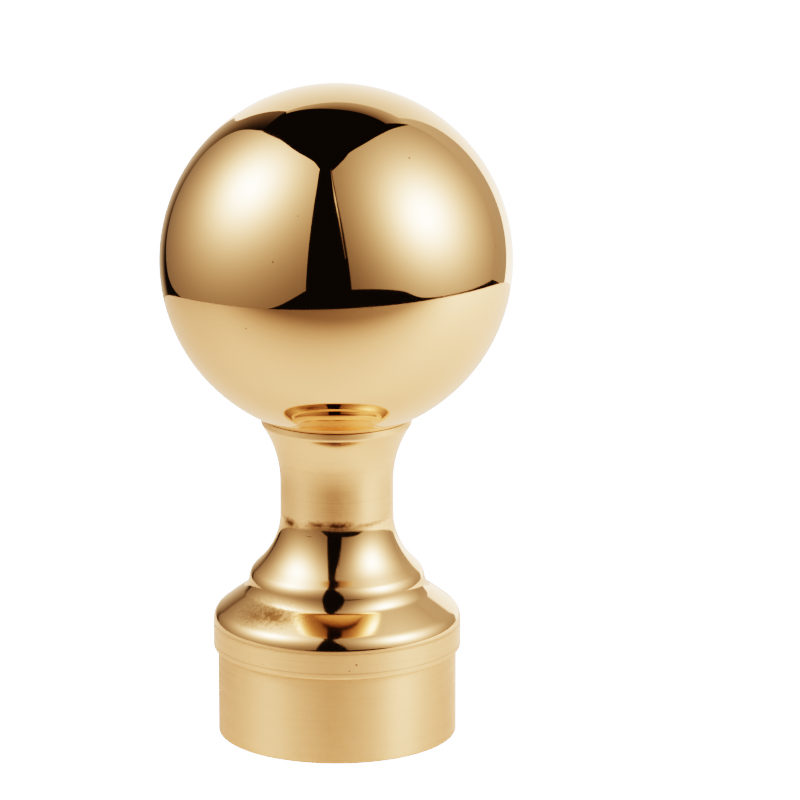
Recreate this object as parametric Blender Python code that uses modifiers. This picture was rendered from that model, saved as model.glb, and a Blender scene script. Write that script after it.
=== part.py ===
"""Flagpole finial in brass: a ball on a spun stem, with a tube sleeve below that fits a pole.

Metres, +Z up. The origin is on the axis, at the sleeve's lower rim.
"""
import math

import bpy

# Ball
BALL_DIAMETER = 0.085

# Sleeve, whose bore takes the pole
SLEEVE_BORE = 0.055
SLEEVE_WALL = 0.0015
SLEEVE_SHOWS = 0.0215
SLEEVE_INSERT = 0.005
SLEEVE_EDGE = 0.0003

# Stem, from its collar up. An angle is how far the surface leans in from upright.
STEM_WALL = 0.0008
COLLAR_HEIGHT = 0.00664
COLLAR_EDGE = 0.0003
RIM_RADIUS = 0.00426
RIM_LEAN = math.radians(51.3)
SLOPE_RADIUS = 0.108
SLOPE_LEAN = math.radians(55.0)
CORNER_RADIUS = 0.0024
CORNER_LEAN = math.radians(33.2)
COVE_RADIUS = 0.00604
STEP_LEAN = math.radians(8.4)
STEP_LENGTH = 0.0002
SHOULDER_RADIUS = 0.0047
SHOULDER_LEAN = math.radians(34.0)
BROW_RADIUS = 0.0031
SWEEP_LEAN = math.radians(45.0)
SWEEP_LENGTH = 0.0019
SWEEP_RADIUS = 0.0174
NECK_LENGTH = 0.0078
FLARE_RADIUS = 0.0259
FLARE_LEAN = math.radians(-33.9)
LIP_CORNER = 0.0009
LIP_HEIGHT = 0.0011

# Fits and facets
SLEEVE_CLEARANCE = 0.0003
SEAT_GAP = 0.0003
STEPS = 48
RINGS = STEPS // 2
ARC_STEP = math.radians(11.2)
SHARP_ANGLE = math.radians(40.0)
MERGE = 0.00001

# Worked out from the sizes above
BALL_RADIUS = BALL_DIAMETER / 2
SLEEVE_INNER = SLEEVE_BORE / 2
SLEEVE_OUTER = SLEEVE_INNER + SLEEVE_WALL
COLLAR_OUTER = SLEEVE_OUTER + SLEEVE_CLEARANCE + STEM_WALL


def clear_scene():
    for thing in list(bpy.data.objects):
        bpy.data.objects.remove(thing, do_unlink=True)


def new_collection(name):
    collection = bpy.data.collections.new(name)
    bpy.context.scene.collection.children.link(collection)
    return collection


def brass(name, colour, roughness):
    material = bpy.data.materials.new(name)
    material.use_nodes = True
    shader = material.node_tree.nodes["Principled BSDF"]
    shader.inputs["Base Color"].default_value = (*colour, 1.0)
    shader.inputs["Metallic"].default_value = 1.0
    shader.inputs["Roughness"].default_value = roughness
    return material


class Turning:
    """A turned surface followed upwards, as points of (radius, height, lean)."""

    def __init__(self, radius, height, lean=0.0):
        self.points = [(radius, height, lean)]

    def straight(self, length):
        radius, height, lean = self.points[-1]
        self.points.append((radius - length * math.sin(lean), height + length * math.cos(lean), lean))

    def arc(self, arc_radius, lean):
        """Turns from the lean reached so far to another one. Leaning in bulges, leaning out hollows."""
        radius, height, start = self.points[-1]
        bulge = arc_radius if lean > start else -arc_radius
        segments = max(1, math.ceil(abs(lean - start) / ARC_STEP))
        for i in range(1, segments + 1):
            at = start + (lean - start) * i / segments
            self.points.append((
                radius + bulge * (math.cos(at) - math.cos(start)),
                height + bulge * (math.sin(at) - math.sin(start)),
                at,
            ))

    def inside(self, wall):
        """The same surface, one wall thickness further in."""
        return [(r - wall * math.cos(lean), z - wall * math.sin(lean)) for r, z, lean in self.points]

    def outside(self):
        return [(r, z) for r, z, lean in self.points]


def stem_surface():
    surface = Turning(COLLAR_OUTER, SLEEVE_SHOWS + COLLAR_EDGE)
    surface.straight(COLLAR_HEIGHT - COLLAR_EDGE)
    surface.arc(RIM_RADIUS, RIM_LEAN)
    surface.arc(SLOPE_RADIUS, SLOPE_LEAN)
    surface.arc(CORNER_RADIUS, CORNER_LEAN)
    surface.arc(COVE_RADIUS, STEP_LEAN)
    surface.straight(STEP_LENGTH)
    surface.arc(SHOULDER_RADIUS, SHOULDER_LEAN)
    surface.arc(BROW_RADIUS, SWEEP_LEAN)
    surface.straight(SWEEP_LENGTH)
    surface.arc(SWEEP_RADIUS, 0.0)
    surface.straight(NECK_LENGTH)
    surface.arc(FLARE_RADIUS, FLARE_LEAN)
    surface.arc(LIP_CORNER, 0.0)
    surface.straight(LIP_HEIGHT)
    return surface


def ball_height(surface):
    """Height of the ball's centre: its surface clears the lip's outer edge by the seat's gap."""
    radius, height, lean = surface.points[-1]
    return height + math.sqrt((BALL_RADIUS + SEAT_GAP) ** 2 - radius ** 2)


def stem_outline(surface):
    """Closed section of the shell: down its outer side and up the inner one, with a seat cut to the ball."""
    down = surface.outside()[::-1]
    edge = [(COLLAR_OUTER - COLLAR_EDGE, SLEEVE_SHOWS)]
    up = surface.inside(STEM_WALL)
    up[0] = (COLLAR_OUTER - STEM_WALL, SLEEVE_SHOWS)
    seat_radius = up[-1][0]
    up[-1] = (seat_radius, ball_height(surface) - math.sqrt((BALL_RADIUS + SEAT_GAP) ** 2 - seat_radius ** 2))
    return down + edge + up


def sleeve_outline():
    """Closed section of the tube, with its outer edges broken."""
    top = SLEEVE_SHOWS + SLEEVE_INSERT
    return [
        (SLEEVE_OUTER - SLEEVE_EDGE, top),
        (SLEEVE_OUTER, top - SLEEVE_EDGE),
        (SLEEVE_OUTER, SLEEVE_EDGE),
        (SLEEVE_OUTER - SLEEVE_EDGE, 0.0),
        (SLEEVE_INNER, 0.0),
        (SLEEVE_INNER, top),
    ]


def add_turned(name, outline, material, collection):
    """Spins a closed section about Z and keeps the result as a mesh."""
    count = len(outline)
    section = bpy.data.meshes.new(name + "_section")
    section.from_pydata(
        [(radius, 0.0, height) for radius, height in outline],
        [(i, (i + 1) % count) for i in range(count)],
        [],
    )
    lathe = bpy.data.objects.new(name + "_lathe", section)
    collection.objects.link(lathe)
    screw = lathe.modifiers.new("Screw", "SCREW")
    screw.axis = "Z"
    screw.angle = math.tau
    screw.steps = STEPS
    screw.render_steps = STEPS
    screw.use_merge_vertices = True
    screw.merge_threshold = MERGE
    bpy.context.view_layer.update()
    evaluated = lathe.evaluated_get(bpy.context.evaluated_depsgraph_get())
    mesh = bpy.data.meshes.new_from_object(evaluated)
    mesh.name = name
    bpy.data.objects.remove(lathe, do_unlink=True)
    bpy.data.meshes.remove(section)
    mesh.materials.append(material)
    mesh.shade_smooth()
    mesh.set_sharp_from_angle(angle=SHARP_ANGLE)
    piece = bpy.data.objects.new(name, mesh)
    collection.objects.link(piece)
    return piece


def add_ball(surface, material, collection):
    """The ball sits on the lip, the seat's gap above it."""
    bpy.ops.mesh.primitive_uv_sphere_add(
        segments=STEPS, ring_count=RINGS, radius=BALL_RADIUS, location=(0.0, 0.0, ball_height(surface)))
    ball = bpy.context.object
    ball.name = "ball"
    ball.data.materials.append(material)
    ball.data.shade_smooth()
    for owner in list(ball.users_collection):
        owner.objects.unlink(ball)
    collection.objects.link(ball)
    return ball


def main():
    clear_scene()
    finial = new_collection("flagpole_finial")
    surface = stem_surface()
    add_ball(surface, brass("polished_brass", (0.83, 0.63, 0.32), 0.04), finial)
    add_turned("stem", stem_outline(surface), brass("turned_brass", (0.82, 0.60, 0.29), 0.1), finial)
    add_turned("socket_sleeve", sleeve_outline(), brass("brushed_brass", (0.80, 0.60, 0.31), 0.3), finial)


main()
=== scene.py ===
import math

import bpy
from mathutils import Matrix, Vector


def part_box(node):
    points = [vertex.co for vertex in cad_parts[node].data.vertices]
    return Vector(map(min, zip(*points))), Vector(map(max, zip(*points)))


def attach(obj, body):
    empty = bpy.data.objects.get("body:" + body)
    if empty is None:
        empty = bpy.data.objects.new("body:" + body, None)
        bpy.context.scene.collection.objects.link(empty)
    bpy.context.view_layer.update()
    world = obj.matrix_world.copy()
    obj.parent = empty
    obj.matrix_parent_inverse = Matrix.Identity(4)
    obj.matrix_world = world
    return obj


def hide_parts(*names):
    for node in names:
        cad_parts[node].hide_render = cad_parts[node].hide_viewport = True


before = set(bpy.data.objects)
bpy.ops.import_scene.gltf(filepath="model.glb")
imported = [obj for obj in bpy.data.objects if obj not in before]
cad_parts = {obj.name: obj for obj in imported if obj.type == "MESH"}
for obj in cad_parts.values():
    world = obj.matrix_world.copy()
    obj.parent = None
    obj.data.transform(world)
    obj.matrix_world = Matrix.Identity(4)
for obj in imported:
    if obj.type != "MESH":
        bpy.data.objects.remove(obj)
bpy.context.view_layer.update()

mm = 0.001
edgeSteps = 4  # faces round a rounded edge
seamGap = 0.001  # millimetres; points nearer than this are merged where a spun surface closes


# helpers

def linearColour(hexCode):
    def channel(pair):
        value = int(pair, 16) / 255
        return value / 12.92 if value <= 0.04045 else ((value + 0.055) / 1.055) ** 2.4
    return (channel(hexCode[1:3]), channel(hexCode[3:5]), channel(hexCode[5:7]), 1.0)


def addNode(tree, kind, inputs=None, **settings):
    node = tree.nodes.new(kind)
    for name, value in settings.items():
        setattr(node, name, value)
    for key, value in (inputs or {}).items():
        if isinstance(value, bpy.types.NodeSocket):
            tree.links.new(value, node.inputs[key])
        else:
            node.inputs[key].default_value = value
    return node


def newMaterial(name):
    material = bpy.data.materials.new(name)
    material.use_nodes = True
    return material, material.node_tree, material.node_tree.nodes["Principled BSDF"]


# where the frame puts the three pieces

ballLow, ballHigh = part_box("ball")
stemLow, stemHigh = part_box("stem")
sleeveLow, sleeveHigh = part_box("socket_sleeve")
ballRadius = (ballHigh[0] - ballLow[0]) / 2
ballHeight = (ballHigh[2] + ballLow[2]) / 2
collarRadius = (stemHigh[0] - stemLow[0]) / 2
sleeveRadius = (sleeveHigh[0] - sleeveLow[0]) / 2


# the lathe: spins a section round Z. The pieces were spun and turned, so they are made the same way

def makeLathe():
    tree = bpy.data.node_groups.new("Lathe", "GeometryNodeTree")
    tree.is_modifier = True
    for name, kind in (
        ("Section", "NodeSocketGeometry"),
        ("Steps", "NodeSocketInt"),
        ("Closed", "NodeSocketInt"),
        ("Waviness", "NodeSocketFloat"),
        ("Wave Size", "NodeSocketFloat"),
        ("Seed", "NodeSocketFloat"),
        ("Inside From", "NodeSocketFloat"),
        ("Outside Finish", "NodeSocketMaterial"),
        ("Inside Finish", "NodeSocketMaterial"),
    ):
        tree.interface.new_socket(name, in_out="INPUT", socket_type=kind)
    tree.interface.new_socket("Piece", in_out="OUTPUT", socket_type="NodeSocketGeometry")
    given = tree.nodes.new("NodeGroupInput").outputs

    # a flat grid, one column for each step and one row for each point of the section
    size = addNode(tree, "GeometryNodeAttributeDomainSize", {"Geometry": given["Section"]})
    count = size.outputs["Point Count"]
    rows = addNode(tree, "ShaderNodeMath", {0: count, 1: given["Closed"]}, operation="ADD").outputs[0]
    columns = addNode(tree, "ShaderNodeMath", {0: given["Steps"], 1: 1.0}, operation="ADD").outputs[0]
    grid = addNode(tree, "GeometryNodeMeshGrid", {
        "Size X": 1.0, "Size Y": 1.0, "Vertices X": columns, "Vertices Y": rows})
    place = addNode(tree, "GeometryNodeInputPosition").outputs[0]
    across = addNode(tree, "ShaderNodeSeparateXYZ", {0: place})
    last = addNode(tree, "ShaderNodeMath", {0: rows, 1: 1.0}, operation="SUBTRACT").outputs[0]
    along = addNode(tree, "ShaderNodeMath", {0: across.outputs["Y"], 1: 0.5}, operation="ADD").outputs[0]
    row = addNode(tree, "ShaderNodeMath", {0: along, 1: last}, operation="MULTIPLY").outputs[0]
    kept = addNode(tree, "GeometryNodeCaptureAttribute", domain="FACE")
    kept.capture_items.new("FLOAT", "Row")
    tree.links.new(grid.outputs["Mesh"], kept.inputs["Geometry"])
    tree.links.new(row, kept.inputs["Row"])

    # each row takes its radius and height from the section, each column its angle
    whole = addNode(tree, "ShaderNodeMath", {0: row}, operation="ROUND").outputs[0]
    index = addNode(tree, "ShaderNodeMath", {0: whole, 1: count}, operation="FLOORED_MODULO").outputs[0]
    point = addNode(tree, "GeometryNodeSampleIndex", data_type="FLOAT_VECTOR", domain="POINT")
    tree.links.new(given["Section"], point.inputs["Geometry"])
    tree.links.new(place, point.inputs["Value"])
    tree.links.new(index, point.inputs["Index"])
    section = addNode(tree, "ShaderNodeSeparateXYZ", {0: point.outputs["Value"]})
    angle = addNode(tree, "ShaderNodeMath", {0: across.outputs["X"], 1: -math.tau},
                    operation="MULTIPLY").outputs[0]
    cosine = addNode(tree, "ShaderNodeMath", {0: angle}, operation="COSINE").outputs[0]
    sine = addNode(tree, "ShaderNodeMath", {0: angle}, operation="SINE").outputs[0]
    radius = section.outputs["X"]
    atX = addNode(tree, "ShaderNodeMath", {0: radius, 1: cosine}, operation="MULTIPLY").outputs[0]
    atY = addNode(tree, "ShaderNodeMath", {0: radius, 1: sine}, operation="MULTIPLY").outputs[0]
    turned = addNode(tree, "ShaderNodeCombineXYZ", {0: atX, 1: atY, 2: section.outputs["Z"]}).outputs[0]
    spun = addNode(tree, "GeometryNodeSetPosition", {
        "Geometry": kept.outputs["Geometry"], "Position": turned})
    closed = addNode(tree, "GeometryNodeMergeByDistance", {
        "Geometry": spun.outputs[0], "Distance": seamGap * mm})

    # hand work leaves faint hollows, so the surface is let in by up to the waviness
    perMetre = addNode(tree, "ShaderNodeMath", {0: 1.0, 1: given["Wave Size"]}, operation="DIVIDE").outputs[0]
    noise = addNode(tree, "ShaderNodeTexNoise", {
        "Vector": place, "W": given["Seed"], "Scale": perMetre, "Detail": 1.0}, noise_dimensions="4D")
    depth = addNode(tree, "ShaderNodeMath", {0: noise.outputs["Fac"], 1: 1.0},
                    operation="SUBTRACT").outputs[0]
    inwards = addNode(tree, "ShaderNodeMath", {0: depth, 1: given["Waviness"]},
                      operation="MULTIPLY").outputs[0]
    normal = addNode(tree, "GeometryNodeInputNormal").outputs[0]
    offset = addNode(tree, "ShaderNodeVectorMath", {0: normal, "Scale": inwards},
                     operation="SCALE").outputs[0]
    worked = addNode(tree, "GeometryNodeSetPosition", {"Geometry": closed.outputs[0], "Offset": offset})
    smooth = addNode(tree, "GeometryNodeSetShadeSmooth", {
        "Geometry": worked.outputs[0], "Shade Smooth": True})
    real = addNode(tree, "GeometryNodeRealizeInstances", {"Geometry": smooth.outputs[0]})
    inner = addNode(tree, "FunctionNodeCompare", {0: kept.outputs["Row"], 1: given["Inside From"]},
                    data_type="FLOAT", operation="GREATER_THAN").outputs[0]
    outside = addNode(tree, "GeometryNodeSetMaterial", {
        "Geometry": real.outputs[0], "Material": given["Outside Finish"]})
    inside = addNode(tree, "GeometryNodeSetMaterial", {
        "Geometry": outside.outputs[0], "Selection": inner, "Material": given["Inside Finish"]})
    addNode(tree, "NodeGroupOutput", {0: inside.outputs[0]})
    return tree


def turnOnLathe(tree, name, section, inputs):
    # section is a list of (radius, height); the result is a plain mesh with no modifier
    profile = bpy.data.meshes.new(name + "Section")
    profile.from_pydata([(r, 0.0, z) for r, z in section], [(i, i + 1) for i in range(len(section) - 1)], [])
    blank = bpy.data.objects.new(name + "Blank", profile)
    bpy.context.scene.collection.objects.link(blank)
    turning = blank.modifiers.new("Lathe", "NODES")
    turning.node_group = tree
    for item in tree.interface.items_tree:
        if item.in_out == "INPUT" and item.name in inputs:
            turning[item.identifier] = inputs[item.name]
    bpy.context.view_layer.update()
    evaluated = blank.evaluated_get(bpy.context.evaluated_depsgraph_get())
    mesh = bpy.data.meshes.new_from_object(evaluated)
    bpy.data.objects.remove(blank)
    piece = bpy.data.objects.new(name, mesh)
    bpy.context.scene.collection.objects.link(piece)
    return piece


def followTurning(radius, height, moves, spacing):
    # walks up a turned surface: points of (radius, height, lean in radians), at most spacing apart
    points = [(radius, height, 0.0)]
    for move in moves:
        r, z, start = points[-1]
        if move[0] == "straight":
            pieces = max(1, math.ceil(move[1] / spacing))
            for i in range(1, pieces + 1):
                s = move[1] * i / pieces
                points.append((r - s * math.sin(start), z + s * math.cos(start), start))
        else:
            lean = math.radians(move[2])
            bulge = move[1] if lean > start else -move[1]
            pieces = max(3, math.ceil(abs(lean - start) * move[1] / spacing))
            for i in range(1, pieces + 1):
                at = start + (lean - start) * i / pieces
                points.append((r + bulge * (math.cos(at) - math.cos(start)),
                               z + bulge * (math.sin(at) - math.sin(start)), at))
    return points


# brass finishes, lengths in millimetres

brassLook = {
    "polished": "#F7D3AE",  # buffed yellow brass, paler here as the studio's light is warm
    # the dark colour below is also painted shade and a painted reflection on the stem
    "mark": "#5A4126",  # tarnish and pores
    "pitSpacing": 9.0,
    "pitWidth": 0.16,
    "pitShare": 0.35,
    "pitCore": 0.5,  # these two in pit widths
    "pitEdge": 1.2,
    "raggedSize": 0.9,
    "ragged": 0.9,  # these three in half widths of a mark
    "markCore": 0.6,
    "markEdge": 1.6,
    "lineStretch": 40.0,  # waves a metre along a turning line
    "lineClean": 0.48,  # noise between these two darkens a turning line
    "lineDark": 0.72,
    "brushedRound": 0.25,  # turns the spread of the shine across the turning lines
}


def addPits(tree, place):
    # a casting pore here and there: 0 in the open, 1 in the pore
    width = brassLook["pitWidth"] / brassLook["pitSpacing"]
    cells = addNode(tree, "ShaderNodeTexVoronoi", {
        "Vector": place, "Scale": 1 / (brassLook["pitSpacing"] * mm), "Randomness": 1.0})
    chosen = addNode(tree, "ShaderNodeSeparateXYZ", {0: cells.outputs["Color"]})
    pick = addNode(tree, "ShaderNodeMath", {0: chosen.outputs["X"], 1: brassLook["pitShare"]},
                   operation="LESS_THAN").outputs[0]
    hole = addNode(tree, "ShaderNodeMapRange", {
        "Value": cells.outputs["Distance"], "From Min": width * brassLook["pitEdge"],
        "From Max": width * brassLook["pitCore"]}).outputs["Result"]
    return addNode(tree, "ShaderNodeMath", {0: hole, 1: pick}, operation="MULTIPLY").outputs[0]


def addMarks(tree, place, marks):
    # the pores, and a list of dark spots with ragged edges: x, y and height of the middle, half width,
    # half height, tone
    ragged = addNode(tree, "ShaderNodeTexNoise", {
        "Vector": place, "Scale": 1 / (brassLook["raggedSize"] * mm), "Detail": 4.0})
    bend = addNode(tree, "ShaderNodeMath", {0: ragged.outputs["Fac"], 1: brassLook["ragged"]},
                   operation="MULTIPLY").outputs[0]
    total = addPits(tree, place)
    for x, y, height, wide, high, tone in marks:
        away = addNode(tree, "ShaderNodeVectorMath", {0: place, 1: (x * mm, y * mm, height * mm)},
                       operation="SUBTRACT").outputs[0]
        scaled = addNode(tree, "ShaderNodeVectorMath", {
            0: away, 1: (1 / (wide * mm), 1 / (wide * mm), 1 / (high * mm))},
            operation="MULTIPLY").outputs[0]
        reach = addNode(tree, "ShaderNodeVectorMath", {0: scaled}, operation="LENGTH").outputs["Value"]
        worn = addNode(tree, "ShaderNodeMath", {0: reach, 1: bend}, operation="ADD").outputs[0]
        spot = addNode(tree, "ShaderNodeMapRange", {
            "Value": worn, "From Min": brassLook["markEdge"], "From Max": brassLook["markCore"],
            "To Max": tone}).outputs["Result"]
        total = addNode(tree, "ShaderNodeMath", {0: total, 1: spot}, operation="MAXIMUM").outputs[0]
    return total


def addRings(tree, height, rings, total):
    # lays the rings of a list over what total holds
    for middle, half, tone in rings:
        away = addNode(tree, "ShaderNodeMath", {0: height, 1: middle * mm},
                       operation="SUBTRACT").outputs[0]
        apart = addNode(tree, "ShaderNodeMath", {0: away}, operation="ABSOLUTE").outputs[0]
        ring = addNode(tree, "ShaderNodeMapRange", {
            "Value": apart, "From Min": half * mm, "From Max": 0.0, "To Max": tone},
            interpolation_type="SMOOTHSTEP").outputs["Result"]
        total = addNode(tree, "ShaderNodeMath", {0: total, 1: ring}, operation="MAXIMUM").outputs[0]
    return total


def addLineTone(tree, lines, depth):
    # the turning lines hold a little tarnish
    return addNode(tree, "ShaderNodeMapRange", {
        "Value": lines, "From Min": brassLook["lineClean"], "From Max": brassLook["lineDark"],
        "To Max": depth}).outputs["Result"]


def addTurningLines(tree, place, look):
    # the fine rings that a finishing cloth leaves on turning work
    rings = addNode(tree, "ShaderNodeMapping", {
        "Vector": place,
        "Scale": (brassLook["lineStretch"], brassLook["lineStretch"], 1 / (look["linePitch"] * mm))})
    noise = addNode(tree, "ShaderNodeTexNoise", {"Vector": rings.outputs[0], "Scale": 1.0, "Detail": 4.0})
    lines = noise.outputs["Fac"]
    bump = addNode(tree, "ShaderNodeBump", {
        "Strength": 1.0, "Distance": look["lineDepth"] * mm, "Height": lines})
    return bump, lines


def colourBrass(tree, shader, tone):
    # polished brass, darkened by the tone
    colour = addNode(tree, "ShaderNodeMix", {
        0: tone, 6: linearColour(brassLook["polished"]), 7: linearColour(brassLook["mark"])},
        data_type="RGBA")
    tree.links.new(colour.outputs[2], shader.inputs["Base Color"])
    shader.inputs["Metallic"].default_value = 1.0


def brushRound(tree, shader, bump, spread):
    # fine lines that run round the piece, so that its shine spreads up and down
    around = addNode(tree, "ShaderNodeTangent", direction_type="RADIAL", axis="Z")
    tree.links.new(around.outputs[0], shader.inputs["Tangent"])
    tree.links.new(bump.outputs[0], shader.inputs["Normal"])
    shader.inputs["Anisotropic Rotation"].default_value = brassLook["brushedRound"]
    if isinstance(spread, float):
        shader.inputs["Anisotropic"].default_value = spread
    else:
        tree.links.new(spread, shader.inputs["Anisotropic"])


ballLook = {
    "hazeSize": 14.0,
    "hazeFrom": 0.35,
    "hazeTo": 0.7,
    "sharpest": 0.025,
    "dullest": 0.06,
}
ballMarks = [
    (-14.4, -39.0, 126.4, 0.30, 0.30, 0.8),
    (17.5, -23.9, 147.9, 0.30, 0.30, 0.9),
    (21.7, -31.5, 136.0, 0.22, 0.22, 0.9),
    (-20.8, -36.2, 109.7, 0.35, 0.25, 0.5),
]


def makeMirrorBrass():
    # buffed yellow brass: a sharp mirror, with a breath of unevenness in its gloss and a few pores
    material, tree, shader = newMaterial("Buffed Yellow Brass")
    place = addNode(tree, "ShaderNodeTexCoord").outputs["Object"]
    haze = addNode(tree, "ShaderNodeTexNoise", {
        "Vector": place, "Scale": 1 / (ballLook["hazeSize"] * mm), "Detail": 3.0})
    gloss = addNode(tree, "ShaderNodeMapRange", {
        "Value": haze.outputs["Fac"], "From Min": ballLook["hazeFrom"], "From Max": ballLook["hazeTo"],
        "To Min": ballLook["sharpest"], "To Max": ballLook["dullest"]})
    tree.links.new(gloss.outputs["Result"], shader.inputs["Roughness"])
    colourBrass(tree, shader, addMarks(tree, place, ballMarks))
    return material


stemMarksAndReflection = [
    # painted reflection: dark patches across the front of the neck, where it mirrors the dark front of the
    # table
    (-11.3, -8.0, 54.3, 3.4, 1.4, 0.95),
    (-4.5, -13.1, 55.0, 4.0, 1.1, 0.85),
    (0.5, -13.8, 55.0, 5.0, 1.3, 0.9),
    (7.4, -11.7, 54.8, 6.0, 0.8, 0.6),
    # a nick on the sweep, and pores in the neck and the collar
    (-6.9, -12.8, 52.1, 1.3, 0.18, 0.7),
    (-7.2, -13.0, 71.8, 0.5, 0.35, 0.45),
    (-3.7, -14.3, 71.7, 0.5, 0.25, 0.5),
    (-2.0, -14.5, 71.0, 0.4, 0.30, 0.4),
    (4.9, -29.7, 25.2, 0.35, 0.30, 0.7),
    (3.2, -29.9, 23.7, 0.30, 0.25, 0.6),
    # the scuffed patch on the foot
    (-15.5, -19.9, 34.3, 10.0, 3.0, 0.9),
    (-19.0, -17.5, 33.6, 7.0, 2.6, 0.75),
]
# painted shade: soft dark rings on the collar: height, half width, tone
collarShadeRings = [(27.9, 0.7, 0.35), (22.9, 0.3, 0.3)]
turnedLook = {
    "linePitch": 0.35,  # drawn coarse enough to show
    "lineDepth": 0.0012,
    "lineTone": 0.09,
    # satin lies on the neck, fading up the flare, and on the rim and the collar
    "neckFrom": 54.6,
    "neckFade": 0.7,
    "neckRagged": 0.8,
    "raggedSize": 1.6,
    "flareFrom": 66.0,
    "flareTo": 76.0,
    "flareSatin": 0.2,
    "rimFrom": 77.3,
    "rimFade": 0.3,
    "collarTo": 28.6,
    "collarFade": 1.0,
    "polished": 0.09,  # these three are roughness
    "satin": 0.3,
    "markRough": 0.2,
    "spread": 0.9,
}


def makeTurnedBrass():
    # brass polished on the lathe: a mirror on the foot and the flare, with satin left on collar, neck and rim
    look = turnedLook
    material, tree, shader = newMaterial("Lathe Polished Brass")
    place = addNode(tree, "ShaderNodeTexCoord").outputs["Object"]
    height = addNode(tree, "ShaderNodeSeparateXYZ", {0: place}).outputs["Z"]
    bump, lines = addTurningLines(tree, place, look)

    # where it is satin: 1 there, 0 on the mirror
    ragged = addNode(tree, "ShaderNodeTexNoise", {
        "Vector": place, "Scale": 1 / (look["raggedSize"] * mm), "Detail": 3.0})
    shift = addNode(tree, "ShaderNodeMath", {
        0: ragged.outputs["Fac"], 1: look["neckRagged"] * mm, 2: height}, operation="MULTIPLY_ADD").outputs[0]
    neck = addNode(tree, "ShaderNodeMapRange", {
        "Value": shift, "From Min": look["neckFrom"] * mm,
        "From Max": (look["neckFrom"] + look["neckFade"]) * mm}).outputs["Result"]
    flare = addNode(tree, "ShaderNodeMapRange", {
        "Value": height, "From Min": look["flareFrom"] * mm, "From Max": look["flareTo"] * mm,
        "To Min": 1.0, "To Max": look["flareSatin"]}, interpolation_type="SMOOTHSTEP").outputs["Result"]
    rim = addNode(tree, "ShaderNodeMapRange", {
        "Value": height, "From Min": look["rimFrom"] * mm,
        "From Max": (look["rimFrom"] + look["rimFade"]) * mm}).outputs["Result"]
    upper = addNode(tree, "ShaderNodeMath", {0: flare, 1: rim}, operation="MAXIMUM").outputs[0]
    aboveFoot = addNode(tree, "ShaderNodeMath", {0: neck, 1: upper}, operation="MULTIPLY").outputs[0]
    collar = addNode(tree, "ShaderNodeMapRange", {
        "Value": height, "From Min": look["collarTo"] * mm,
        "From Max": (look["collarTo"] - look["collarFade"]) * mm}).outputs["Result"]
    satin = addNode(tree, "ShaderNodeMath", {0: aboveFoot, 1: collar}, operation="MAXIMUM").outputs[0]
    tree.links.new(satin, bump.inputs["Strength"])

    # how dark, how rough and how far the shine spreads
    # the marks are pores, a nick, a scuff and a painted reflection across the front of the neck
    marks = addMarks(tree, place, stemMarksAndReflection)
    dark = addLineTone(tree, lines, look["lineTone"])
    tarnishAndReflection = addNode(tree, "ShaderNodeMath", {0: satin, 1: dark, 2: marks},
                      operation="MULTIPLY_ADD").outputs[0]
    gloss = addNode(tree, "ShaderNodeMapRange", {
        "Value": satin, "To Min": look["polished"], "To Max": look["satin"]}).outputs["Result"]
    rough = addNode(tree, "ShaderNodeMath", {0: marks, 1: look["markRough"], 2: gloss},
                    operation="MULTIPLY_ADD").outputs[0]
    spread = addNode(tree, "ShaderNodeMath", {0: satin, 1: look["spread"]}, operation="MULTIPLY").outputs[0]
    tree.links.new(rough, shader.inputs["Roughness"])
    # the collar's rings of painted shade darken the colour here
    colourBrass(tree, shader, addRings(tree, height, collarShadeRings, tarnishAndReflection))
    brushRound(tree, shader, bump, spread)
    return material


sleeveLook = {
    "linePitch": 0.25,
    "lineDepth": 0.0012,
    "lineTone": 0.04,
    "satin": 0.42,
    "noiseFrom": 0.3,
    "noiseTo": 0.7,
    "uneven": 0.05,
    "spread": 0.92,
}


def makeBrushedBrass():
    # satin brass tube, brushed while it turned
    look = sleeveLook
    material, tree, shader = newMaterial("Satin Brushed Brass")
    place = addNode(tree, "ShaderNodeTexCoord").outputs["Object"]
    bump, lines = addTurningLines(tree, place, look)
    rough = addNode(tree, "ShaderNodeMapRange", {
        "Value": lines, "From Min": look["noiseFrom"], "From Max": look["noiseTo"],
        "To Min": look["satin"] - look["uneven"], "To Max": look["satin"] + look["uneven"]})
    tree.links.new(rough.outputs["Result"], shader.inputs["Roughness"])
    colourBrass(tree, shader, addLineTone(tree, lines, look["lineTone"]))
    brushRound(tree, shader, bump, look["spread"])
    return material


insideLook = {
    "bare": "#C7AB79",  # never polished, and a little dull
    "stain": "#9A7D49",
    "stainSize": 12.0,
    "toolPitch": 0.8,
    "toolStretch": 30.0,
    "toolDepth": 0.02,
    "rough": 0.38,
}


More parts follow.
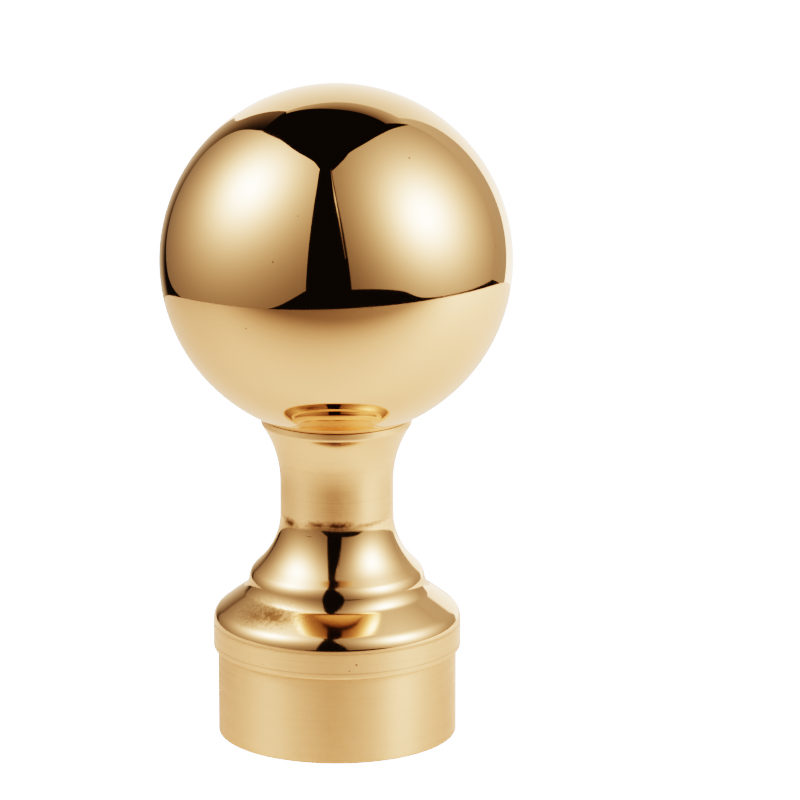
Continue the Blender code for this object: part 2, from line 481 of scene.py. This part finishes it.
def makeInsideBrass():
    # the bare inside of the spinning: dull brass with the marks of the forming tool
    look = insideLook
    material, tree, shader = newMaterial("Dull Inside Brass")
    place = addNode(tree, "ShaderNodeTexCoord").outputs["Object"]
    rings = addNode(tree, "ShaderNodeMapping", {
        "Vector": place,
        "Scale": (look["toolStretch"], look["toolStretch"], 1 / (look["toolPitch"] * mm))})
    lines = addNode(tree, "ShaderNodeTexNoise", {"Vector": rings.outputs[0], "Scale": 1.0, "Detail": 4.0})
    bump = addNode(tree, "ShaderNodeBump", {
        "Strength": 1.0, "Distance": look["toolDepth"] * mm, "Height": lines.outputs["Fac"]})
    stain = addNode(tree, "ShaderNodeTexNoise", {
        "Vector": place, "Scale": 1 / (look["stainSize"] * mm), "Detail": 4.0})
    colour = addNode(tree, "ShaderNodeMix", {
        0: stain.outputs["Fac"], 6: linearColour(look["bare"]), 7: linearColour(look["stain"])},
        data_type="RGBA")
    tree.links.new(colour.outputs[2], shader.inputs["Base Color"])
    tree.links.new(bump.outputs[0], shader.inputs["Normal"])
    shader.inputs["Metallic"].default_value = 1.0
    shader.inputs["Roughness"].default_value = look["rough"]
    return material


mirrorBrass = makeMirrorBrass()
turnedBrass = makeTurnedBrass()
brushedBrass = makeBrushedBrass()
insideBrass = makeInsideBrass()
print("finishes made")


# the three pieces, lengths in millimetres

lathe = makeLathe()

ball = {
    "steps": 320,
    "spacing": 1.0,
    "waviness": 0.02,
    "waveSize": 14.0,
    "seed": 3.0,
}


def turnPiece(name, look, section, insideFrom, finish):
    # insideFrom is the number of the first point of the section on the inside, or None for a closed ball
    return turnOnLathe(lathe, name, section, {
        "Steps": look["steps"], "Closed": 0 if insideFrom is None else 1,
        "Waviness": look["waviness"] * mm, "Wave Size": look["waveSize"] * mm, "Seed": look["seed"],
        "Inside From": len(section) + 1.0 if insideFrom is None else float(insideFrom),
        "Outside Finish": finish, "Inside Finish": insideBrass})


def makeBall():
    rows = math.ceil(math.pi * ballRadius / (ball["spacing"] * mm))
    section = []
    for i in range(rows + 1):
        lean = math.pi / 2 - math.pi * i / rows
        section.append((max(0.0, ballRadius * math.cos(lean)), ballHeight + ballRadius * math.sin(lean)))
    return turnPiece("polishedBall", ball, section, None, mirrorBrass)


stem = {
    # a pair is an arc: its radius, and how many degrees the surface leans in from upright where it ends
    "steps": 320,
    "spacing": 0.5,
    "insideSpacing": 1.2,
    "wall": 0.8,
    "collarHeight": 6.64,
    "collarEdge": 0.3,
    "rim": (4.26, 51.3),
    "slope": (108.0, 55.0),
    "corner": (2.4, 33.2),
    "cove": (6.04, 8.4),
    "step": 0.2,
    "shoulder": (4.7, 34.0),
    "brow": (3.1, 45.0),
    "sweep": 1.9,
    "sweepCove": (17.4, 0.0),
    "neck": 7.8,
    "flare": (25.9, -33.9),
    "lipCorner": (0.9, 0.0),
    "seatGap": 0.06,  # less than in the solid, so that no gap shows under the ball
    "seatRows": 6,
    "waviness": 0.02,
    "waveSize": 9.0,
    "seed": 7.0,
}


def stemMoves():
    # the outside from the collar's lower edge up to the lip
    def arc(name):
        return ("arc", stem[name][0] * mm, stem[name][1])
    return [
        ("straight", (stem["collarHeight"] - stem["collarEdge"]) * mm),
        arc("rim"), arc("slope"), arc("corner"), arc("cove"),
        ("straight", stem["step"] * mm),
        arc("shoulder"), arc("brow"),
        ("straight", stem["sweep"] * mm),
        arc("sweepCove"),
        ("straight", stem["neck"] * mm),
        arc("flare"), arc("lipCorner"),
    ]


def seatHeight(radius):
    # how high the stem reaches under the ball at a radius
    return ballHeight - math.sqrt((ballRadius + stem["seatGap"] * mm) ** 2 - radius ** 2)


def makeStem():
    wall = stem["wall"] * mm
    edge = stem["collarEdge"] * mm
    start = (collarRadius, stemLow[2] + edge)
    outer = followTurning(*start, stemMoves(), stem["spacing"] * mm)
    inner = followTurning(*start, stemMoves(), stem["insideSpacing"] * mm)
    lip, corner, lean = outer[-1]
    rise = (seatHeight(lip) - corner) / stem["seatRows"]
    section = [(lip, corner + rise * i) for i in range(stem["seatRows"], 0, -1)]
    section += [(r, z) for r, z, lean in reversed(outer)]
    for i in range(1, edgeSteps + 1):
        turn = math.pi / 2 * i / edgeSteps
        section.append((collarRadius - edge * (1 - math.cos(turn)), stemLow[2] + edge * (1 - math.sin(turn))))
    insideFrom = len(section)
    section.append((collarRadius - wall, stemLow[2]))
    section += [(r - wall * math.cos(lean), z - wall * math.sin(lean)) for r, z, lean in inner[1:]]
    section.append((lip - wall, seatHeight(lip - wall)))
    return turnPiece("turnedStem", stem, section, insideFrom, turnedBrass)


sleeve = {
    "steps": 256,
    "wall": 1.5,
    "edge": 0.3,
    "spacing": 1.0,
    "waviness": 0.02,
    "waveSize": 12.0,
    "seed": 11.0,
}


def makeSleeve():
    edge = sleeve["edge"] * mm
    inner = sleeveRadius - sleeve["wall"] * mm
    top = sleeveHigh[2]
    rows = math.ceil(top / (sleeve["spacing"] * mm))
    section = []
    for centre, first in ((top - edge, 90), (edge, 0)):
        for i in range(edgeSteps + 1):
            turn = math.radians(first - 90 * i / edgeSteps)
            section.append((sleeveRadius - edge + edge * math.cos(turn), centre + edge * math.sin(turn)))
        if first == 90:  # the side, between the two rounded edges
            section += [(sleeveRadius, top - edge - (top - 2 * edge) * i / rows) for i in range(1, rows)]
    insideFrom = len(section)
    section += [(inner, top * i / rows) for i in range(rows + 1)]
    return turnPiece("brushedSleeve", sleeve, section, insideFrom, brushedBrass)


for make, node, slot in (
    (makeBall, "ball", "polished_brass"),
    (makeStem, "stem", "turned_brass"),
    (makeSleeve, "socket_sleeve", "brushed_brass"),
):
    piece = make()
    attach(piece, "root")
    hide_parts(node)
    print(piece.name, "has", len(piece.data.polygons), "faces")


# the studio, in metres: two big diffusers round a white table, a white sheet behind, dark between and above.
# A panel's sides are points of (azimuth, elevation) in degrees as seen from the ball, 0 towards the camera
# and 90 to its right. Its light falls off all round its hot spot and is added to an even base, which changes
# by its rise towards the top. Its tilt makes it brighter towards greater azimuths

studio = {
    "distance": 0.62,
    "warmth": (1.0, 0.79, 0.59),
    "hotWidth": 10.0,  # degrees
    "leastShare": 0.04,  # of its light, where a tilted panel is darkest
    "across": 48,  # faces of a panel
    "up": 24,
    "dark": 0.015,
    "darkColour": (1.0, 0.75, 0.53, 1.0),
}
leftDiffuser = {
    "name": "leftDiffuser",
    "left": [(-137, -13.5), (-142.5, -7), (-147, 6), (-149, 14), (-146, 29), (-137, 46)],
    "top": [(-137, 46), (-120, 61), (-98, 69), (-70, 73.5), (-45, 74), (-27, 71)],
    "right": [(-18, -6), (-17.5, 15), (-18, 40), (-21, 60), (-27, 71)],
    "bottom": [(-137, -13.5), (-129, -16.5), (-112, -19.5), (-90, -20), (-60, -20), (-38, -17), (-18, -6)],
    "light": 11.0, "hot": (-82, 42), "tilt": 0.0, "base": 0.02, "rise": 0.0,
}
rightDiffuser = {
    "name": "rightDiffuser",
    "left": [(10, -5), (8, 15), (5, 36), (0, 57), (-6, 71)],
    "top": [(-6, 71), (15, 77.5), (50, 81.5), (90, 79.5), (118, 72), (135, 59), (145, 42)],
    "right": [(119, -13), (125, 4), (134, 22), (145, 42)],
    "bottom": [(10, -5), (26, -5.5), (42, -8), (58, -13.5), (90, -14), (119, -13)],
    "light": 11.5, "hot": (69, 29.5), "tilt": 0.4, "base": 0.02, "rise": 0.0,
}
whiteSheet = {
    "name": "whiteSheet",
    "left": [(140, -17), (147, 5), (151, 22), (151, 43)],
    "top": [(151, 43), (165, 45), (187, 46), (203, 44)],
    "right": [(188, -17), (194, 5), (203, 20), (203, 44)],
    "bottom": [(140, -17), (165, -17), (188, -17)],
    "light": 0.0, "hot": (180, 0), "tilt": 0.0, "base": 2.1, "rise": -1.7,
}
rightCurtain = {
    "name": "rightCurtain",
    "left": [(119, -13), (125, 4), (134, 22), (145, 42)],
    "top": [(145, 42), (148, 42.5), (151, 43)],
    "right": [(140, -17), (147, 5), (151, 22), (151, 43)],
    "bottom": [(119, -13), (130, -15), (140, -17)],
    "light": 0.0, "hot": (130, 0), "tilt": 0.0, "base": 0.42, "rise": 0.2,
}
leftCurtain = {
    "name": "leftCurtain",
    "left": [(188, -17), (194, 5), (203, 20), (203, 44)],
    "top": [(203, 44), (213, 45.5), (223, 46)],
    "right": [(225, -18), (217.5, -7), (213, 6), (211, 14), (214, 29), (223, 46)],
    "bottom": [(188, -17), (206, -17.5), (225, -18)],
    "light": 0.0, "hot": (203, 0), "tilt": -4.0, "base": 0.38, "rise": -0.34,
}
valance = {
    "name": "valance",
    "left": [(145, 42), (145, 49), (145, 55)],
    "top": [(145, 55), (180, 55), (205, 46)],
    "right": [(203, 44), (204, 45), (205, 46)],
    "bottom": [(145, 42), (165, 45), (187, 46), (203, 44)],
    "light": 0.0, "hot": (180, 0), "tilt": 0.0, "base": 2.6, "rise": -3.0,
}
edgeStrip = {
    "name": "edgeStrip",
    "left": [(6.3, 14), (2.2, 40), (-3.4, 61), (-8.3, 72)],
    "top": [(-8.3, 72), (-8, 72), (-7.6, 72)],
    "right": [(7, 14), (3, 40), (-2.5, 61), (-7.6, 72)],
    "bottom": [(6.3, 14), (6.7, 14), (7, 14)],
    "light": 1.2, "hot": (0.5, 50), "tilt": 0.0, "base": 0.05, "rise": 0.0,
}


def direction(azimuth, elevation):
    a, e = math.radians(azimuth), math.radians(elevation)
    return Vector((math.sin(a) * math.cos(e), -math.cos(a) * math.cos(e), math.sin(e)))


def glowMaterial(name, panel):
    # cloth lit from behind: a strobe's hot spot falling off all round, over an even base
    material = bpy.data.materials.new(name)
    material.use_nodes = True
    tree = material.node_tree
    tree.nodes.remove(tree.nodes["Principled BSDF"])
    place = addNode(tree, "ShaderNodeTexCoord").outputs["Object"]
    away = addNode(tree, "ShaderNodeVectorMath", {0: place, 1: (0.0, 0.0, ballHeight)},
                   operation="SUBTRACT")
    unit = addNode(tree, "ShaderNodeVectorMath", {0: away.outputs[0]}, operation="NORMALIZE").outputs[0]
    hot = direction(*panel["hot"])
    aside = direction(panel["hot"][0] + 90, 0)
    aim = addNode(tree, "ShaderNodeVectorMath", {0: unit, 1: hot},
                  operation="DOT_PRODUCT").outputs["Value"]
    bounded = addNode(tree, "ShaderNodeMath", {0: aim, 1: 1.0}, operation="MINIMUM").outputs[0]
    angle = addNode(tree, "ShaderNodeMath", {0: bounded}, operation="ARCCOSINE").outputs[0]
    ratio = addNode(tree, "ShaderNodeMath", {0: angle, 1: math.radians(studio["hotWidth"])},
                    operation="DIVIDE").outputs[0]
    square = addNode(tree, "ShaderNodeMath", {0: ratio, 1: ratio, 2: 1.0},
                     operation="MULTIPLY_ADD").outputs[0]
    spot = addNode(tree, "ShaderNodeMath", {0: panel["light"], 1: square}, operation="DIVIDE").outputs[0]
    along = addNode(tree, "ShaderNodeVectorMath", {0: unit, 1: aside},
                    operation="DOT_PRODUCT").outputs["Value"]
    tilted = addNode(tree, "ShaderNodeMath", {0: along, 1: panel["tilt"], 2: 1.0},
                     operation="MULTIPLY_ADD")
    share = addNode(tree, "ShaderNodeMath", {0: tilted.outputs[0], 1: studio["leastShare"]},
                    operation="MAXIMUM").outputs[0]
    height = addNode(tree, "ShaderNodeSeparateXYZ", {0: unit}).outputs["Z"]
    even = addNode(tree, "ShaderNodeMath", {0: height, 1: panel["rise"], 2: panel["base"]},
                   operation="MULTIPLY_ADD").outputs[0]
    both = addNode(tree, "ShaderNodeMath", {0: spot, 1: even}, operation="ADD").outputs[0]
    light = addNode(tree, "ShaderNodeMath", {0: both, 1: share}, operation="MULTIPLY").outputs[0]
    colour = (*panel.get("colour", studio["warmth"]), 1.0)
    glow = addNode(tree, "ShaderNodeEmission", {"Strength": light, "Color": colour})
    tree.links.new(glow.outputs[0], tree.nodes["Material Output"].inputs["Surface"])
    return material


def alongSide(side, share):
    # a smooth line through the points of one side of a panel, share going from 0 to 1
    at = share * (len(side) - 1)
    i = min(int(at), len(side) - 2)
    t = at - i
    points = [Vector(side[min(max(i + k, 0), len(side) - 1)]) for k in (-1, 0, 1, 2)]
    leave, arrive = (points[2] - points[0]) / 2, (points[3] - points[1]) / 2
    gap = points[2] - points[1]
    return (points[1] + leave * t + (3 * gap - 2 * leave - arrive) * t ** 2
            + (leave + arrive - 2 * gap) * t ** 3)


def makePanel(panel):
    # a sheet stretched between its four sides, bent round the ball at the studio's distance
    across, up = studio["across"], studio["up"]
    corners = [Vector(panel[side][end]) for side in ("bottom", "top") for end in (0, -1)]
    verts, faces = [], []
    for i in range(across + 1):
        s = i / across
        for j in range(up + 1):
            t = j / up
            place = (alongSide(panel["bottom"], s) * (1 - t) + alongSide(panel["top"], s) * t
                     + alongSide(panel["left"], t) * (1 - s) + alongSide(panel["right"], t) * s
                     - (corners[0] * (1 - s) + corners[1] * s) * (1 - t)
                     - (corners[2] * (1 - s) + corners[3] * s) * t)
            verts.append(direction(*place) * studio["distance"] + Vector((0, 0, ballHeight)))
    for i in range(across):
        for j in range(up):
            a = i * (up + 1) + j
            faces.append((a, a + 1, a + up + 2, a + up + 1))
    mesh = bpy.data.meshes.new(panel["name"])
    mesh.from_pydata(verts, [], faces)
    mesh.materials.append(glowMaterial(panel["name"] + "Cloth", panel))
    sheet = bpy.data.objects.new(panel["name"], mesh)
    bpy.context.scene.collection.objects.link(sheet)
    sheet.visible_camera = False


tableTop = {
    "radius": 0.40,
    "aside": 0.05,
    "height": -0.0002,
    "edges": 128,
    "middle": 1.24,
    "brighterRight": 1.6,  # per metre
    "frontFrom": -0.04,
    "frontTo": -0.30,
    "frontShare": 0.22,
    "card": (0.42, 0.391, 0.374),  # linear colour at full light
    "glow": 0.52,
    "glowColour": (1.0, 0.735, 0.525, 1.0),
    "rough": 0.6,
}


def makeTableTop():
    # white card with painted light: its colour and its glow are brighter to the right and fall off towards
    # its front edge
    material, tree, shader = newMaterial("White Table Card")
    place = addNode(tree, "ShaderNodeTexCoord").outputs["Object"]
    part = addNode(tree, "ShaderNodeSeparateXYZ", {0: place})
    side = addNode(tree, "ShaderNodeMath", {
        0: part.outputs["X"], 1: tableTop["brighterRight"], 2: tableTop["middle"]}, operation="MULTIPLY_ADD")
    front = addNode(tree, "ShaderNodeMapRange", {
        "Value": part.outputs["Y"], "From Min": tableTop["frontFrom"], "From Max": tableTop["frontTo"],
        "To Min": 1.0, "To Max": tableTop["frontShare"]}, interpolation_type="SMOOTHSTEP")
    light = addNode(tree, "ShaderNodeMath", {0: side.outputs[0], 1: front.outputs["Result"]},
                    operation="MULTIPLY").outputs[0]
    white = addNode(tree, "ShaderNodeVectorMath", {0: tableTop["card"], "Scale": light}, operation="SCALE")
    glow = addNode(tree, "ShaderNodeMath", {0: light, 1: tableTop["glow"]}, operation="MULTIPLY")
    tree.links.new(white.outputs[0], shader.inputs["Base Color"])
    tree.links.new(glow.outputs[0], shader.inputs["Emission Strength"])
    shader.inputs["Emission Color"].default_value = tableTop["glowColour"]
    shader.inputs["Roughness"].default_value = tableTop["rough"]
    bpy.ops.mesh.primitive_circle_add(
        vertices=tableTop["edges"], radius=tableTop["radius"], fill_type="NGON",
        location=(tableTop["aside"], 0, tableTop["height"]))
    table = bpy.context.object
    table.name = "tableTop"
    table.data.materials.append(material)
    table.visible_camera = False


surround = {
    "light": 14.0,  # so bright that floor and surround come out plain white
    "floorRadius": 28.0,
    "floorHeight": -0.0001,
    "domeRadius": 29.0,
}


def makeSurround():
    # what the camera sees round the object: a white floor and a white dome, which light nothing
    white = {"light": 0.0, "hot": (0, 0), "tilt": 0.0, "base": surround["light"], "rise": 0.0,
             "colour": (1.0, 1.0, 1.0)}
    bpy.ops.mesh.primitive_circle_add(vertices=96, radius=surround["floorRadius"], fill_type="NGON",
                                      location=(0, 0, surround["floorHeight"]))
    floor = bpy.context.object
    floor.name = "whiteFloor"
    bpy.ops.mesh.primitive_uv_sphere_add(segments=48, ring_count=24, radius=surround["domeRadius"])
    dome = bpy.context.object
    dome.name = "whiteDome"
    for item in (floor, dome):
        item.data.materials.append(glowMaterial(item.name + "Light", white))
        item.visible_glossy = False
        item.visible_diffuse = False
        item.visible_shadow = False


def makeDarkRoom():
    world = bpy.data.worlds.new("Dark Room")
    world.use_nodes = True
    background = world.node_tree.nodes["Background"]
    background.inputs["Color"].default_value = studio["darkColour"]
    background.inputs["Strength"].default_value = studio["dark"]
    bpy.context.scene.world = world


for panel in (leftDiffuser, rightDiffuser, whiteSheet, rightCurtain, leftCurtain, valance, edgeStrip):
    makePanel(panel)
makeTableTop()
makeSurround()
makeDarkRoom()
print("studio set")


# camera: a long lens, a little above the object and a little to its right

camera = {
    "distance": 1.5,  # metres
    "elevation": 14.84,  # degrees
    "aimHeight": 82.8,  # millimetres, as the next three
    "aside": 15.3,
    "lens": 280.0,
    "sensor": 36.0,
    "farthest": 100.0,  # metres
}


def makeCamera():
    data = bpy.data.cameras.new("camera")
    data.lens = camera["lens"]
    data.sensor_width = camera["sensor"]
    data.clip_end = camera["farthest"]
    eye = bpy.data.objects.new("camera", data)
    up = math.radians(camera["elevation"])
    eye.location = (camera["aside"] * mm, -camera["distance"] * math.cos(up),
                    camera["aimHeight"] * mm + camera["distance"] * math.sin(up))
    eye.rotation_euler = (math.pi / 2 - up, 0.0, 0.0)
    bpy.context.scene.collection.objects.link(eye)
    bpy.context.scene.camera = eye


makeCamera()
look = bpy.context.scene.view_settings
look.view_transform = "Filmic"
look.look = "Very High Contrast"
print("camera ready")
